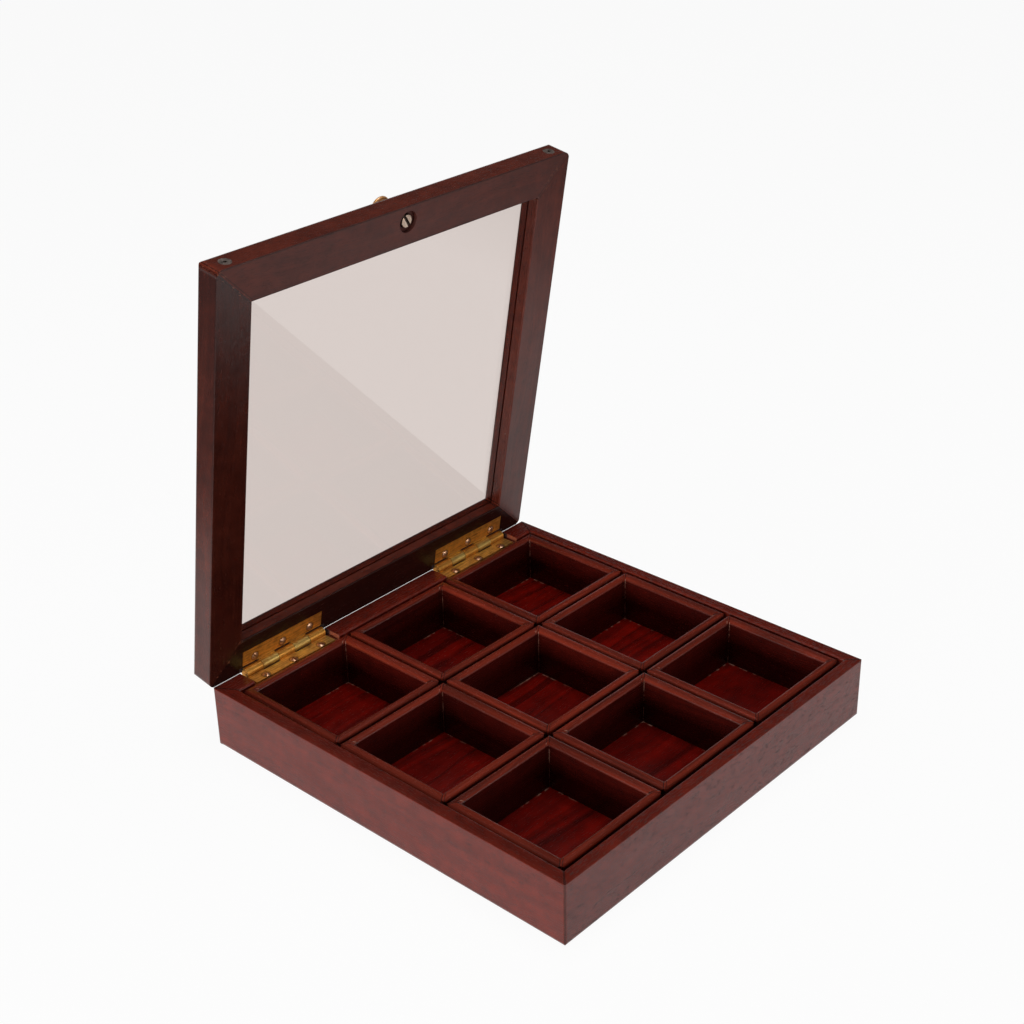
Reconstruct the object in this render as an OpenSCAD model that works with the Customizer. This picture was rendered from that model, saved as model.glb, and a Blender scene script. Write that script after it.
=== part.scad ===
// Tea bag organizer box: a square wooden box with nine loose cups under a hinged glass lid.
// Units are millimetres. +X runs along the hinges, +Y points to the hinge side and +Z is up.
// The origin is the middle of the box's underside. The lid is drawn open.

/* [Box] */
// Width of the box, along the hinges
box_w = 230; // [200:1:280]
// Depth of the box, from front to back
box_d = 230; // [200:1:280]
// Height of the box's walls
box_h = 34; // [28:0.5:50]
// Thickness of the left wall
left_wall = 7.5; // [6:0.5:12]
// Thickness of the right wall
right_wall = 6; // [5.5:0.5:12]
// Thickness of the front wall
front_wall = 7; // [6:0.5:12]
// Thickness of the back wall, which carries the hinges
back_wall = 11.5; // [11:0.5:18]
// Thickness of the bottom panel
panel_t = 4.5; // [3:0.5:6]
// Width of the rabbet that the bottom panel is let into
rabbet_w = 3; // [2:0.5:3]
// Rounding of the box's upright corners
wall_round = 1.2; // [0.4:0.1:2]
// Rounding of the walls' lower edges
foot_round = 2.4; // [0.4:0.1:2.4]
// Rounding of the walls' upper edges on the outside
rim_round = 0.4; // [0.2:0.1:1]
// Rounding of the walls' upper edges on the inside
brim_round = 1.2; // [0.2:0.1:1.5]

/* [Cups] */
// Thickness of a cup's left and right boards
cup_side_t = 5.8; // [4.4:0.2:8]
// Thickness of a cup's front and back boards
cup_end_t = 4.8; // [4.4:0.2:8]
// Thickness of a cup's floor
cup_floor_t = 3.5; // [3:0.5:8]
// Gap between the columns of cups, and between them and the box
column_gap = 0.7; // [0.5:0.1:2]
// Gap between the rows of cups, and between them and the box
row_gap = 1.6; // [1.3:0.1:3]
// How far the rows of cups are pushed back
row_push = 0.8; // [0:0.1:0.8]
// How far a cup's rim lies below the box's rim
cup_drop = 0.5; // [0:0.1:2]
// Rounding of a cup's rim
cup_rim_round = 2; // [0.5:0.1:2]
// Rounding of a cup's upright outside corners
cup_corner_round = 3; // [1:0.5:4]

/* [Lid] */
// How much narrower the lid is than the box
lid_side_play = 0.3; // [0:0.1:3]
// Depth of the lid, from front to back
lid_d = 231; // [199:1:279]
// Thickness of the lid's frame
lid_t = 13.5; // [13:0.5:16]
// Width of the lid's rails and stiles
rail_w = 20.2; // [18:0.2:26]
// Sideways set of the lid on its hinges
lid_shift = -2.1; // [-2.2:0.1:2.2]
// Gap between the closed lid and the box's rim
lid_gap = 0.65; // [0.6:0.05:1]
// Opening angle of the lid, measured from closed
lid_open = 80; // [0:1:120]
// Rounding of the frame's corners, seen from above
lid_corner_round = 4; // [1:0.5:5]
// Rounding of the frame's outer edges
lid_round = 2.5; // [1:0.5:3]
// Rounding of the outer face round the glass
lip_round = 3; // [1:0.5:3.5]
// Rounding of the edges of the frame's inner face
lid_ease = 0.3; // [0.2:0.1:1]

/* [Glass] */
// Thickness of the glass pane
glass_t = 2; // [1.5:0.5:2.5]
// Depth of the groove that the pane is held in
groove_depth = 6; // [5:0.5:7]
// Room between the pane's edge and the groove's bottom
glass_play = 1; // [0.5:0.1:2]
// Distance from the frame's inner face to the groove
groove_set = 6; // [4:0.1:6]

/* [Hinges] */
// Distance of each hinge's middle from the box's side
hinge_set = 46; // [45:1:60]
// Length of a hinge
hinge_len = 53; // [42:1:54]
// Distance from a hinge's axis to the far edge of the box's leaf
base_leaf_w = 9.7; // [9.6:0.1:10]
// Distance from a hinge's axis to the far edge of the lid's leaf
lid_leaf_w = 12.4; // [9.6:0.1:13]
// Thickness of the leaves
leaf_t = 1.3; // [1.2:0.1:1.4]
// Radius of the hinge pins
pin_r = 1.35; // [1.25:0.05:1.4]
// Radial clearance of the pin in the lid leaf's knuckles
pin_play = 0.05; // [0.03:0.01:0.1]
// Distance of the hinge axis in front of the box's back face
axis_in = 0.95; // [0.8:0.05:1]
// Distance of the hinge axis below the box's rim
axis_down = 0.6; // [0.5:0.05:0.65]

/* [Knob] */
// Height of the knob
knob_h = 8.4; // [8:0.1:12]
// Largest radius of the knob's head
knob_r = 5.7; // [5:0.1:7]
// Distance from the lid's front edge to the knob's axis
knob_set = 8; // [7.5:0.5:10]

/* [Hidden] */
$fn = 64;
COLUMN_NAMES = ["left", "middle", "right"];
ROW_NAMES = ["front", "middle", "back"];
CUP_PIECES = ["side_boards", "end_boards", "floor"];
function cup_name(row, column) =
    row == 1 && column == 1 ? "cup_centre" : str("cup_", ROW_NAMES[row], "_", COLUMN_NAMES[column]);

// Plan rectangles are written [left, front, right, back].
box_outer = [-box_w / 2, -box_d / 2, box_w / 2, box_d / 2];
box_inner = [-box_w / 2 + left_wall, -box_d / 2 + front_wall, box_w / 2 - right_wall, box_d / 2 - back_wall];
cup_w = (box_inner[2] - box_inner[0] - 4 * column_gap) / 3;
cup_d = (box_inner[3] - box_inner[1] - 4 * row_gap) / 3;
cup_top = box_h - cup_drop;

// A knuckle is the leaf rolled round the pin, so the leaf is level with the barrel's outside.
bore_r = pin_r + pin_play;
barrel_r = bore_r + leaf_t;
KNUCKLES = 5;
knuckle_pitch = hinge_len / KNUCKLES;
knuckle_gap = 0.3;       // between neighbouring knuckles
notch_r = barrel_r + 0.55; // from the axis to the notches cut for the other leaf's knuckles
tongue_in = 0.3;         // the tongues stop this far short of the axis
groove_r = barrel_r + 0.4; // round hollow in the wood behind the barrel
mortise_end = 2.2;       // room at each end of a base leaf
mortise_play = 0.3;      // room round a lid leaf
hinge_x = box_w / 2 - hinge_set;
axis_y = box_d / 2 - axis_in;
axis_z = box_h - axis_down;

// The closed lid.
lid_w = box_w - lid_side_play;
lid_bottom = box_h + lid_gap;
lid_back = axis_y;
lid_outer = [lid_shift - lid_w / 2, lid_back - lid_d, lid_shift + lid_w / 2, lid_back];
lid_inner = inset(lid_outer, rail_w);
groove_bottom = lid_bottom + groove_set;

// Hinge screws
screw_spacing = 18.5;
hinge_head_r = 2.1;
hinge_shank_r = 1.3;
hinge_screw_len = 9.5;
base_screw_row = 7.4;    // from the axis
lid_screw_row = 6.2;     // from the axis
hinge_slot = [0.6, 0.6]; // width and depth

// Screws across the lid's mitres
corner_head_r = 3.1;
corner_head_h = 2;
corner_shank_r = 1.75;
corner_screw_len = 34;
corner_set = 9.5;        // from the lid's side
corner_up = 6;           // from the lid's inner face
corner_recess = [0.9, 1]; // radius and depth

// Knob and its screw
knob_off = 0.2;          // sideways, from the lid's middle
knob_x = lid_shift + knob_off;
knob_y = lid_outer[1] + knob_set;
knob_edge_r = 1;         // rounding of the head's rim
knob_edge_z = knob_h - 3.1;
knob_neck_r = 2.9;
knob_neck_z = knob_edge_z - knob_edge_r - 0.9;
knob_foot_r = 4.6;
knob_foot_h = 1.4;
knob_bore = 5.5;         // depth of the threaded hole
knob_screw_r = 1.9;
knob_head_r = 3.6;
knob_head_h = 1.7;
knob_slot = [1.6, 1];    // width and depth
knob_slot_turn = 56;
counterbore_r = 5.5;
counterbore_depth = 2.4;

function inset(rect, by) = [rect[0] + by, rect[1] + by, rect[2] - by, rect[3] - by];
function cup_outer(row, column) =
    let (x = box_inner[0] + column_gap + column * (cup_w + column_gap),
        y = box_inner[1] + row_gap + row_push + row * (cup_d + row_gap))
    [x, y, x + cup_w, y + cup_d];
function cup_inner(row, column) =
    let (o = cup_outer(row, column)) [o[0] + cup_side_t, o[1] + cup_end_t, o[2] - cup_side_t, o[3] - cup_end_t];

// The mitred plan of one side of a ring of boards.
function side_plan(side, outer, inner) =
    side == "left" ? [[outer[0], outer[1]], [inner[0], inner[1]], [inner[0], inner[3]], [outer[0], outer[3]]] :
    side == "right" ? [[outer[2], outer[1]], [outer[2], outer[3]], [inner[2], inner[3]], [inner[2], inner[1]]] :
    side == "front" ? [[outer[0], outer[1]], [outer[2], outer[1]], [inner[2], inner[1]], [inner[0], inner[1]]] :
    [[outer[0], outer[3]], [inner[0], inner[3]], [inner[2], inner[3]], [outer[2], outer[3]]];

// A rectangle whose corners have their own radii, from the lower left one anticlockwise.
module eased_rect(size, radii) {
    corners = [[0, 0], [size[0], 0], size, [0, size[1]]];
    inward = [[1, 1], [-1, 1], [-1, -1], [1, -1]];
    difference() {
        square(size);
        for (i = [0:3]) if (radii[i] > 0)
            difference() {
                translate(corners[i]) square(2 * radii[i], center = true);
                translate(corners[i] + radii[i] * inward[i]) circle(radii[i]);
            }
    }
}

// A bar with eased edges along one side of a ring. The radii are those of its section:
// outer bottom, inner bottom, inner top and outer top.
module side_bar(side, outer, inner, z, radii) {
    h = z[1] - z[0];
    if (side == "left")
        translate([outer[0], outer[3], z[0]]) rotate([90, 0, 0])
            linear_extrude(outer[3] - outer[1]) eased_rect([inner[0] - outer[0], h], radii);
    if (side == "right")
        translate([outer[2], outer[3], z[0]]) mirror([1, 0, 0]) rotate([90, 0, 0])
            linear_extrude(outer[3] - outer[1]) eased_rect([outer[2] - inner[2], h], radii);
    if (side == "front")
        translate([outer[0], outer[1], z[0]]) rotate([90, 0, 90])
            linear_extrude(outer[2] - outer[0]) eased_rect([inner[1] - outer[1], h], radii);
    if (side == "back")
        translate([outer[0], outer[3], z[0]]) mirror([0, 1, 0]) rotate([90, 0, 90])
            linear_extrude(outer[2] - outer[0]) eased_rect([outer[3] - inner[3], h], radii);
}

// One mitred board of a ring, with its outside upright corners rounded too.
module ring_side(side, outer, inner, z, radii, corner) {
    intersection() {
        translate([0, 0, z[0]]) linear_extrude(z[1] - z[0]) intersection() {
            polygon(side_plan(side, outer, inner));
            translate([outer[0], outer[1]])
                eased_rect([outer[2] - outer[0], outer[3] - outer[1]], [corner, corner, corner, corner]);
        }
        side_bar(side, outer, inner, z, radii);
    }
}

// A cuboid on a plan rectangle.
module slab(rect, z) {
    translate([rect[0], rect[1], z[0]]) cube([rect[2] - rect[0], rect[3] - rect[1], z[1] - z[0]]);
}

// A screw along -Z with the top of its countersunk head at the origin.
module screw_body(head_r, head_h, shank_r, length) {
    tip = 2 * shank_r;
    rotate_extrude() polygon([
        [0, 0], [head_r, 0], [shank_r, -head_h], [shank_r, tip - length],
        [shank_r / 4, -length], [0, -length]
    ]);
}

// Moves a child from the closed lid to the open one.
module opened() {
    translate([0, axis_y, axis_z]) rotate([-lid_open, 0, 0]) translate([0, -axis_y, -axis_z]) children();
}

// Puts a child, drawn round a hinge's axis, at the left (-1) or the right (1) hinge.
module at_hinge(side) {
    translate([side * hinge_x, axis_y, axis_z]) children();
}

// ---- Box ----

module base_wall(side) {
    ring_side(side, box_outer, box_inner, [0, box_h], [foot_round, 0, brim_round, rim_round], wall_round);
}

module rabbet() {
    slab(inset(box_inner, -rabbet_w), [-1, panel_t]);
}

module base_left_wall() {
    color("rosybrown") difference() {
        base_wall("left");
        rabbet();
    }
}

module base_right_wall() {
    color("rosybrown") difference() {
        base_wall("right");
        rabbet();
    }
}

module base_front_wall() {
    color("rosybrown") difference() {
        base_wall("front");
        rabbet();
    }
}

module base_back_wall() {
    color("rosybrown") difference() {
        base_wall("back");
        rabbet();
        for (side = [-1, 1]) at_hinge(side) {
            base_mortise();
            base_screws() hinge_screw_body();
        }
    }
}

module base_bottom_panel() {
    color("sienna") slab(inset(box_inner, -rabbet_w), [0, panel_t]);
}

// ---- Hinges: each is drawn closed, round its own axis, with the leaves towards -Y ----

// The length of a leaf's bed, with room at both ends.
module hinge_slot_bar(y, z, play) {
    translate([-hinge_len / 2 - play, y[0], z[0]]) cube([hinge_len + 2 * play, y[1] - y[0], z[1] - z[0]]);
}

module barrel_hollow(play) {
    translate([-hinge_len / 2 - play, 0, 0]) rotate([0, 90, 0]) cylinder(r = groove_r, h = hinge_len + 2 * play);
}

// The base leaf's bed runs through to the inside of the back wall.
module base_mortise() {
    hinge_slot_bar([-back_wall - 1, groove_r], [-barrel_r, axis_down + 1], mortise_end);
    barrel_hollow(mortise_end);
}

module lid_mortise() {
    hinge_slot_bar([-lid_leaf_w - mortise_play, groove_r], [-1, barrel_r], mortise_play);
    barrel_hollow(mortise_play);
}

// One leaf of the width given, with the knuckles named in own bored to a radius.
module leaf(width, own, bore) {
    knuckle_len = knuckle_pitch - knuckle_gap;
    difference() {
        union() {
            translate([-hinge_len / 2, -width, -barrel_r]) cube([hinge_len, width - notch_r, leaf_t]);
            for (k = own) translate([k * knuckle_pitch - hinge_len / 2 + knuckle_gap / 2, 0, 0]) {
                translate([0, -notch_r - 1, -barrel_r]) cube([knuckle_len, notch_r + 1 - tongue_in, leaf_t]);
                rotate([0, 90, 0]) cylinder(r = barrel_r, h = knuckle_len);
            }
        }
        translate([-hinge_len, 0, 0]) rotate([0, 90, 0]) cylinder(r = bore, h = 2 * hinge_len);
    }
}

module hinge_screw_body() {
    screw_body(hinge_head_r, leaf_t, hinge_shank_r, hinge_screw_len);
}

module hinge_screw(turn) {
    difference() {
        hinge_screw_body();
        rotate([0, 0, turn]) translate([-5, -hinge_slot[0] / 2, -hinge_slot[1]]) cube([10, hinge_slot[0], 5]);
    }
}

// Three places along a leaf, with the screws' heads at its open face.
module base_screws() {
    for (i = [-1:1]) translate([i * screw_spacing, -base_screw_row, leaf_t - barrel_r]) children();
}

module lid_screws() {
    mirror([0, 0, 1])
        for (i = [-1:1]) translate([i * screw_spacing, -lid_screw_row, leaf_t - barrel_r]) children();
}

module base_leaf(side) {
    color("goldenrod") at_hinge(side) difference() {
        leaf(base_leaf_w, [0, 2, 4], pin_r);
        base_screws() hinge_screw_body();
    }
}

module lid_leaf(side) {
    color("goldenrod") opened() at_hinge(side) difference() {
        mirror([0, 0, 1]) leaf(lid_leaf_w, [1, 3], bore_r);
        lid_screws() hinge_screw_body();
    }
}

module hinge_pin(side) {
    color("darkgoldenrod") at_hinge(side)
        translate([-hinge_len / 2, 0, 0]) rotate([0, 90, 0]) cylinder(r = pin_r, h = hinge_len);
}

module base_leaf_screws(side) {
    color("darkkhaki") at_hinge(side) base_screws() hinge_screw(35 - 50 * side);
}

module lid_leaf_screws(side) {
    color("darkkhaki") opened() at_hinge(side) lid_screws() hinge_screw(20 + 40 * side);
}

// ---- Lid, each piece drawn closed and then opened ----

module lid_member(side) {
    difference() {
        ring_side(side, lid_outer, lid_inner, [lid_bottom, lid_bottom + lid_t],
            [lid_ease, lid_ease, lip_round, lid_round], lid_corner_round);
        slab(inset(lid_inner, -groove_depth), [groove_bottom, groove_bottom + glass_t]);
        corner_screws() corner_screw_body();
    }
}

// The four mitre screws' places, with their heads out at the front and back edges.
module corner_screws() {
    for (x = [lid_outer[0] + corner_set, lid_outer[2] - corner_set]) {
        translate([x, lid_outer[1], lid_bottom + corner_up]) rotate([90, 0, 0]) children();
        translate([x, lid_outer[3], lid_bottom + corner_up]) rotate([-90, 0, 0]) children();
    }
}

module corner_screw_body() {
    screw_body(corner_head_r, corner_head_h, corner_shank_r, corner_screw_len);
}

module lid_corner_screws() {
    color("gray") opened() corner_screws() difference() {
        corner_screw_body();
        translate([0, 0, -corner_recess[1]]) cylinder(r = corner_recess[0], h = 5);
    }
}

module lid_front_rail() {
    color("brown") opened() difference() {
        lid_member("front");
        translate([knob_x, knob_y, lid_bottom - 1]) cylinder(r = counterbore_r, h = counterbore_depth + 1);
        translate([knob_x, knob_y, lid_bottom - 1]) cylinder(r = knob_screw_r, h = lid_t + 2);
    }
}

module lid_back_rail() {
    color("brown") opened() difference() {
        lid_member("back");
        for (side = [-1, 1]) at_hinge(side) {
            lid_mortise();
            lid_screws() hinge_screw_body();
        }
    }
}

module lid_left_stile() {
    color("brown") opened() lid_member("left");
}

module lid_right_stile() {
    color("brown") opened() lid_member("right");
}

module lid_glass() {
    color("lavender", 0.4) opened()
        slab(inset(lid_inner, glass_play - groove_depth), [groove_bottom, groove_bottom + glass_t]);
}

// The knob's dome is a circle on its axis that runs smoothly into the rounded rim.
module lid_knob() {
    edge_x = knob_r - knob_edge_r;
    dome_z = (pow(knob_h - knob_edge_r, 2) - pow(edge_x, 2) - pow(knob_edge_z, 2))
        / (2 * (knob_h - knob_edge_r - knob_edge_z));
    reach = 4;
    color("goldenrod") opened() translate([knob_x, knob_y, lid_bottom + lid_t]) difference() {
        rotate_extrude() {
            translate([edge_x, knob_edge_z]) circle(knob_edge_r);
            intersection() {
                translate([0, dome_z]) circle(knob_h - dome_z, $fn = 96);
                polygon([[0, knob_edge_z], [edge_x, knob_edge_z],
                    [reach * edge_x, dome_z + reach * (knob_edge_z - dome_z)],
                    [0, dome_z + reach * (knob_edge_z - dome_z)]]);
            }
            polygon([[0, knob_neck_z - 1], [knob_neck_r, knob_neck_z - 1], [knob_neck_r, knob_neck_z],
                [edge_x, knob_edge_z - knob_edge_r], [edge_x, knob_edge_z], [0, knob_edge_z]]);
            square([knob_neck_r, knob_neck_z]);
            eased_rect([knob_foot_r, knob_foot_h], [0, 0, 0.7, 0]);
        }
        translate([0, 0, -1]) cylinder(r = knob_screw_r, h = knob_bore + 1);
    }
}

module knob_screw() {
    color("darkgoldenrod") opened()
        translate([knob_x, knob_y, lid_bottom + counterbore_depth]) difference() {
            union() {
                mirror([0, 0, 1]) rotate_extrude() eased_rect([knob_head_r, knob_head_h], [0, 0, 1, 0]);
                cylinder(r = knob_screw_r, h = lid_t - counterbore_depth + knob_bore);
            }
            rotate([0, 0, knob_slot_turn]) translate([-5, -knob_slot[0] / 2, -knob_head_h - 1])
                cube([10, knob_slot[0], knob_slot[1] + 1]);
        }
}

// ---- Cups ----

module cup_board(row, column, side) {
    ring_side(side, cup_outer(row, column), cup_inner(row, column), [panel_t, cup_top],
        [0, 0, cup_rim_round, cup_rim_round], cup_corner_round);
}

module cup_side_boards(row, column) {
    color("maroon") {
        cup_board(row, column, "left");
        cup_board(row, column, "right");
    }
}

module cup_end_boards(row, column) {
    color("maroon") {
        cup_board(row, column, "front");
        cup_board(row, column, "back");
    }
}

module cup_floor(row, column) {
    color("firebrick") slab(cup_inner(row, column), [panel_t, panel_t + cup_floor_t]);
}

base_left_wall();
base_right_wall();
base_front_wall();
base_back_wall();
base_bottom_panel();
base_leaf(-1);  // hinge_left_base_leaf
base_leaf(1);  // hinge_right_base_leaf
hinge_pin(-1);  // hinge_left_pin
hinge_pin(1);  // hinge_right_pin
base_leaf_screws(-1);  // hinge_left_base_screws
base_leaf_screws(1);  // hinge_right_base_screws
lid_front_rail();
lid_back_rail();
lid_left_stile();
lid_right_stile();
lid_glass();
lid_leaf(-1);  // hinge_left_lid_leaf
lid_leaf(1);  // hinge_right_lid_leaf
lid_leaf_screws(-1);  // hinge_left_lid_screws
lid_leaf_screws(1);  // hinge_right_lid_screws
lid_knob();
knob_screw();
lid_corner_screws();
for (row = [0:2], column = [0:2]) {
    cup = cup_name(row, column);
    cup_side_boards(row, column);
    cup_end_boards(row, column);
    cup_floor(row, column);
}
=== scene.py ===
import math

import bpy
from bpy.props import FloatProperty, FloatVectorProperty, PointerProperty
from mathutils import Euler, Matrix, Vector


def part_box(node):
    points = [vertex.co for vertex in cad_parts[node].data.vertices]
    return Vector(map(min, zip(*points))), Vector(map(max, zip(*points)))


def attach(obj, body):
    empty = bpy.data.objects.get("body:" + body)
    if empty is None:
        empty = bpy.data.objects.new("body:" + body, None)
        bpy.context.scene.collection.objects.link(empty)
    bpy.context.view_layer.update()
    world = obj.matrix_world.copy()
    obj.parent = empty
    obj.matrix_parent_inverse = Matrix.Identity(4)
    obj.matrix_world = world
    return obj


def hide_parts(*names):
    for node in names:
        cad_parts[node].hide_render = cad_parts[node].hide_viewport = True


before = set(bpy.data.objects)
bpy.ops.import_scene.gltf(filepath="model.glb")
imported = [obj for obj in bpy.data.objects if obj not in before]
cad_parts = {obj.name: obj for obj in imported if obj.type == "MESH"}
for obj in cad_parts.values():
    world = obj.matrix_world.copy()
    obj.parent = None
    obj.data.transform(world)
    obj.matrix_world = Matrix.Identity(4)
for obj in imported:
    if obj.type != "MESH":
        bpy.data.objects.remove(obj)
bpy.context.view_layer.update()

bl_info = {
    "name": "Tea bag organizer box",
    "version": (1, 0, 0),
    "blender": (4, 5, 0),
    "location": "3D View > Sidebar > Tea Box",
    "description": "Dresses a wooden tea bag box: stained boards, aged brass, glass and a pale studio",
    "category": "Object",
}

MM = 0.001
LID_OPEN = math.radians(80)  # the lid's turn from closed in the frame
SEAM_AND_SHADE = (0.012, 0.002, 0.0015)  # colour of a dark joint line, and of the painted shade in hollows, slots and on the lid's left stile

# Sizes of the model that the materials follow, in mm.
BARREL = 2.85  # radius of a hinge's barrel
BARREL_HOLLOW = 3.3  # radius of the hollow in the wood behind it
BED_ROOM = 2.25  # from a hinge's end to past the end of its bed
BED_DEPTH = 3.4  # from the back wall's top to the bottom of a bed
SCREW_SPACING = 18.5  # between the screws of a hinge leaf
BASE_SCREWS, LID_SCREWS = 7.53, 6.36  # from the hinge axis to a leaf's screws
COUNTERBORE = 5.75  # radius of the knob screw's counterbore

# Where the camera and the lamps point, and how far off the lamps are, in metres.
CAMERA_TARGET = (0.0, 0.01647, 0.11967)
LAMP_TARGET = (0.0, 0.0, 0.08)
LAMP_DISTANCE = 1.5

# Streaks in brass, as noise per mm on each axis: long ones along a hinge, or none.
ALONG_HINGE = (0.08, 1.6, 1.6)
CAST = (0.9, 0.9, 0.9)

# How boards lie: the turn that brings a board's grain onto the X axis.
GRAIN_X = (0.0, 0.0, 0.0)
GRAIN_Y = (0.0, 0.0, -math.pi / 2)
LID_GRAIN_X = (LID_OPEN, 0.0, 0.0)
LID_GRAIN_Y = (LID_OPEN, 0.0, -math.pi / 2)

ROWS = ("front", "middle", "back")
COLUMNS = ("left", "middle", "right")


def cup_name(row, column):
    """The name of the cup in a row and a column, as in cup_front_left."""
    if row == column == 1:
        return "cup_centre"
    return f"cup_{ROWS[row]}_{COLUMNS[column]}"


# ---------------------------------------------------------------------------------------------
# Settings
# ---------------------------------------------------------------------------------------------


def colour(name, description, default):
    """A colour property with its default."""
    return FloatVectorProperty(
        name=name, description=description, subtype="COLOR", size=3, min=0.0, max=1.0, default=default
    )


class TeaBoxWood(bpy.types.PropertyGroup):
    box_deep: colour("Box, deep", "Dark bands of the box walls", (0.095, 0.0075, 0.0030))
    box_warm: colour("Box, warm", "Light bands of the box walls", (0.150, 0.0135, 0.0055))
    lid_deep: colour("Lid, deep", "Dark bands of the lid frame", (0.055, 0.0080, 0.0040))
    lid_warm: colour("Lid, warm", "Light bands of the lid frame", (0.095, 0.0160, 0.0080))
    # Painted shade: the cups' boards are much darker than the box's wood, for the shade inside the cups.
    wall_deep: colour("Cup walls, deep", "Dark bands of the cups' boards", (0.022, 0.0012, 0.0006))
    wall_warm: colour("Cup walls, warm", "Light bands of the cups' boards", (0.054, 0.0032, 0.0014))
    # Painted light: the cups' rims are a lighter brown than their walls, set off from the painted shade below.
    rim: colour("Cup rims", "Brown of the cups' rubbed rims", (0.188, 0.0190, 0.0070))
    floor_deep: colour("Cup floors, deep", "Dark bands of the cups' floors", (0.060, 0.0010, 0.0004))
    floor_warm: colour("Cup floors, warm", "Light bands of the cups' floors", (0.190, 0.0032, 0.0006))
    worn: colour("Worn edge", "Thin lacquer along the edges", (0.150, 0.0330, 0.0200))
    bare: colour("Bare wood", "Scuffed corners and the beds of the hinges", (0.330, 0.1050, 0.0550))
    glue: colour("Glue", "Dried glue in the corners of the cups", (0.550, 0.3000, 0.2200))
    gloss: FloatProperty(name="Roughness", description="Roughness of the lacquer", min=0.1, max=1.0, default=0.24)


class TeaBoxMetal(bpy.types.PropertyGroup):
    gold: colour("Gold", "Bright brass of the hinges", (1.0, 0.70, 0.21))
    amber: colour("Amber", "Reddish brass of the hinges", (0.96, 0.45, 0.085))
    tarnish: colour("Tarnish", "Brown tarnish on the brass", (0.32, 0.12, 0.022))
    knob: colour("Knob", "Pale brass of the knob", (0.72, 0.42, 0.27))
    screw: colour("Hinge screws", "Reddish brass of the hinge screws", (0.62, 0.38, 0.25))
    pale: colour("Knob screw", "Pinkish brass of the knob's screw", (0.90, 0.72, 0.58))
    steel: colour("Steel", "Brown-grey steel of the mitre screws", (0.34, 0.27, 0.24))
    grime: colour("Grime", "Dark grime on the mitre screws", (0.04, 0.03, 0.025))
    dome: FloatProperty(
        name="Screw dome", description="Rise of the hinge screws' heads", unit="LENGTH", min=0.0, default=0.0008
    )


class TeaBoxGlass(bpy.types.PropertyGroup):
    tint: colour("Tint", "What the pane lets through", (0.725, 0.640, 0.605))


class TeaBoxStudio(bpy.types.PropertyGroup):
    distance: FloatProperty(
        name="Camera distance", description="From the camera to its target", unit="LENGTH", min=0.3, default=0.8496
    )
    azimuth: FloatProperty(
        name="Azimuth", description="Camera's angle round the box", unit="ROTATION", default=math.radians(-47.30)
    )
    elevation: FloatProperty(
        name="Elevation", description="Camera's height angle", unit="ROTATION", default=math.radians(27.75)
    )
    roll: FloatProperty(
        name="Roll", description="Camera's turn about its own view", unit="ROTATION", default=math.radians(-1.25)
    )
    lens: FloatProperty(name="Lens", description="Focal length in mm on a 36 mm sensor", min=10.0, default=61.88)
    ambient: FloatProperty(name="Ambient", description="Light from all round", min=0.0, default=0.05)


# ---------------------------------------------------------------------------------------------
# Materials
# ---------------------------------------------------------------------------------------------


class Shader:
    """A new material, with short calls that add nodes and join them."""

    def __init__(self, name):
        self.material = bpy.data.materials.new(name)
        self.material.use_nodes = True
        self.tree = self.material.node_tree
        self.tree.nodes.clear()

    def node(self, kind, inputs=None, **settings):
        made = self.tree.nodes.new(kind)
        for key, value in settings.items():
            setattr(made, key, value)
        for key, value in (inputs or {}).items():
            self.feed(made.inputs[key], value)
        return made

    def feed(self, socket, value):
        if isinstance(value, bpy.types.NodeSocket):
            self.tree.links.new(value, socket)
        else:
            socket.default_value = value

    def math(self, operation, first, second=0.0):
        return self.node("ShaderNodeMath", {0: first, 1: second}, operation=operation).outputs[0]

    def vector(self, operation, first, second=None, scale=None):
        made = self.node("ShaderNodeVectorMath", {0: first}, operation=operation)
        if second is not None:
            self.feed(made.inputs[1], second)
        if scale is not None:
            self.feed(made.inputs["Scale"], scale)
        return made.outputs["Value" if operation in ("LENGTH", "DISTANCE", "DOT_PRODUCT") else "Vector"]

    def stretch(self, value, low, high, to_low=0.0, to_high=1.0):
        """value from low..high to to_low..to_high, clamped."""
        made = self.node("ShaderNodeMapRange", {0: value, 1: low, 2: high, 3: to_low, 4: to_high}, clamp=True)
        return made.outputs[0]

    def falls(self, value, low, high):
        """1 where value is below low, and 0 where it is above high."""
        return self.stretch(value, low, high, 1.0, 0.0)

    def times(self, first, *others):
        """The product of two or more values."""
        for other in others:
            first = self.math("MULTIPLY", first, other)
        return first

    def parts(self, value):
        """The X, Y and Z of a vector."""
        return self.node("ShaderNodeSeparateXYZ", {0: value}).outputs

    def mix(self, share, first, second, blend="MIX"):
        made = self.node("ShaderNodeMix", data_type="RGBA", blend_type=blend)
        self.feed(made.inputs[0], share)
        self.feed(made.inputs[6], first)
        self.feed(made.inputs[7], second)
        return made.outputs[2]

    def noise(self, place, scale=1.0, detail=2.0, roughness=0.5, output="Fac"):
        made = self.node(
            "ShaderNodeTexNoise", {"Vector": place, "Scale": scale, "Detail": detail, "Roughness": roughness}
        )
        return made.outputs[output]

    def bump(self, height, strength, distance, normal=None):
        made = self.node("ShaderNodeBump", {"Height": height, "Strength": strength, "Distance": distance})
        if normal is not None:
            self.feed(made.inputs["Normal"], normal)
        return made.outputs[0]

    def finish(self, surface):
        output = self.node("ShaderNodeOutputMaterial")
        self.tree.links.new(surface, output.inputs["Surface"])
        return self.material


def rgba(values):
    return (*values, 1.0)


def width(node, axis):
    """A node's size along an axis, in mm."""
    low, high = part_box(node)
    return (high[axis] - low[axis]) / MM


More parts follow.
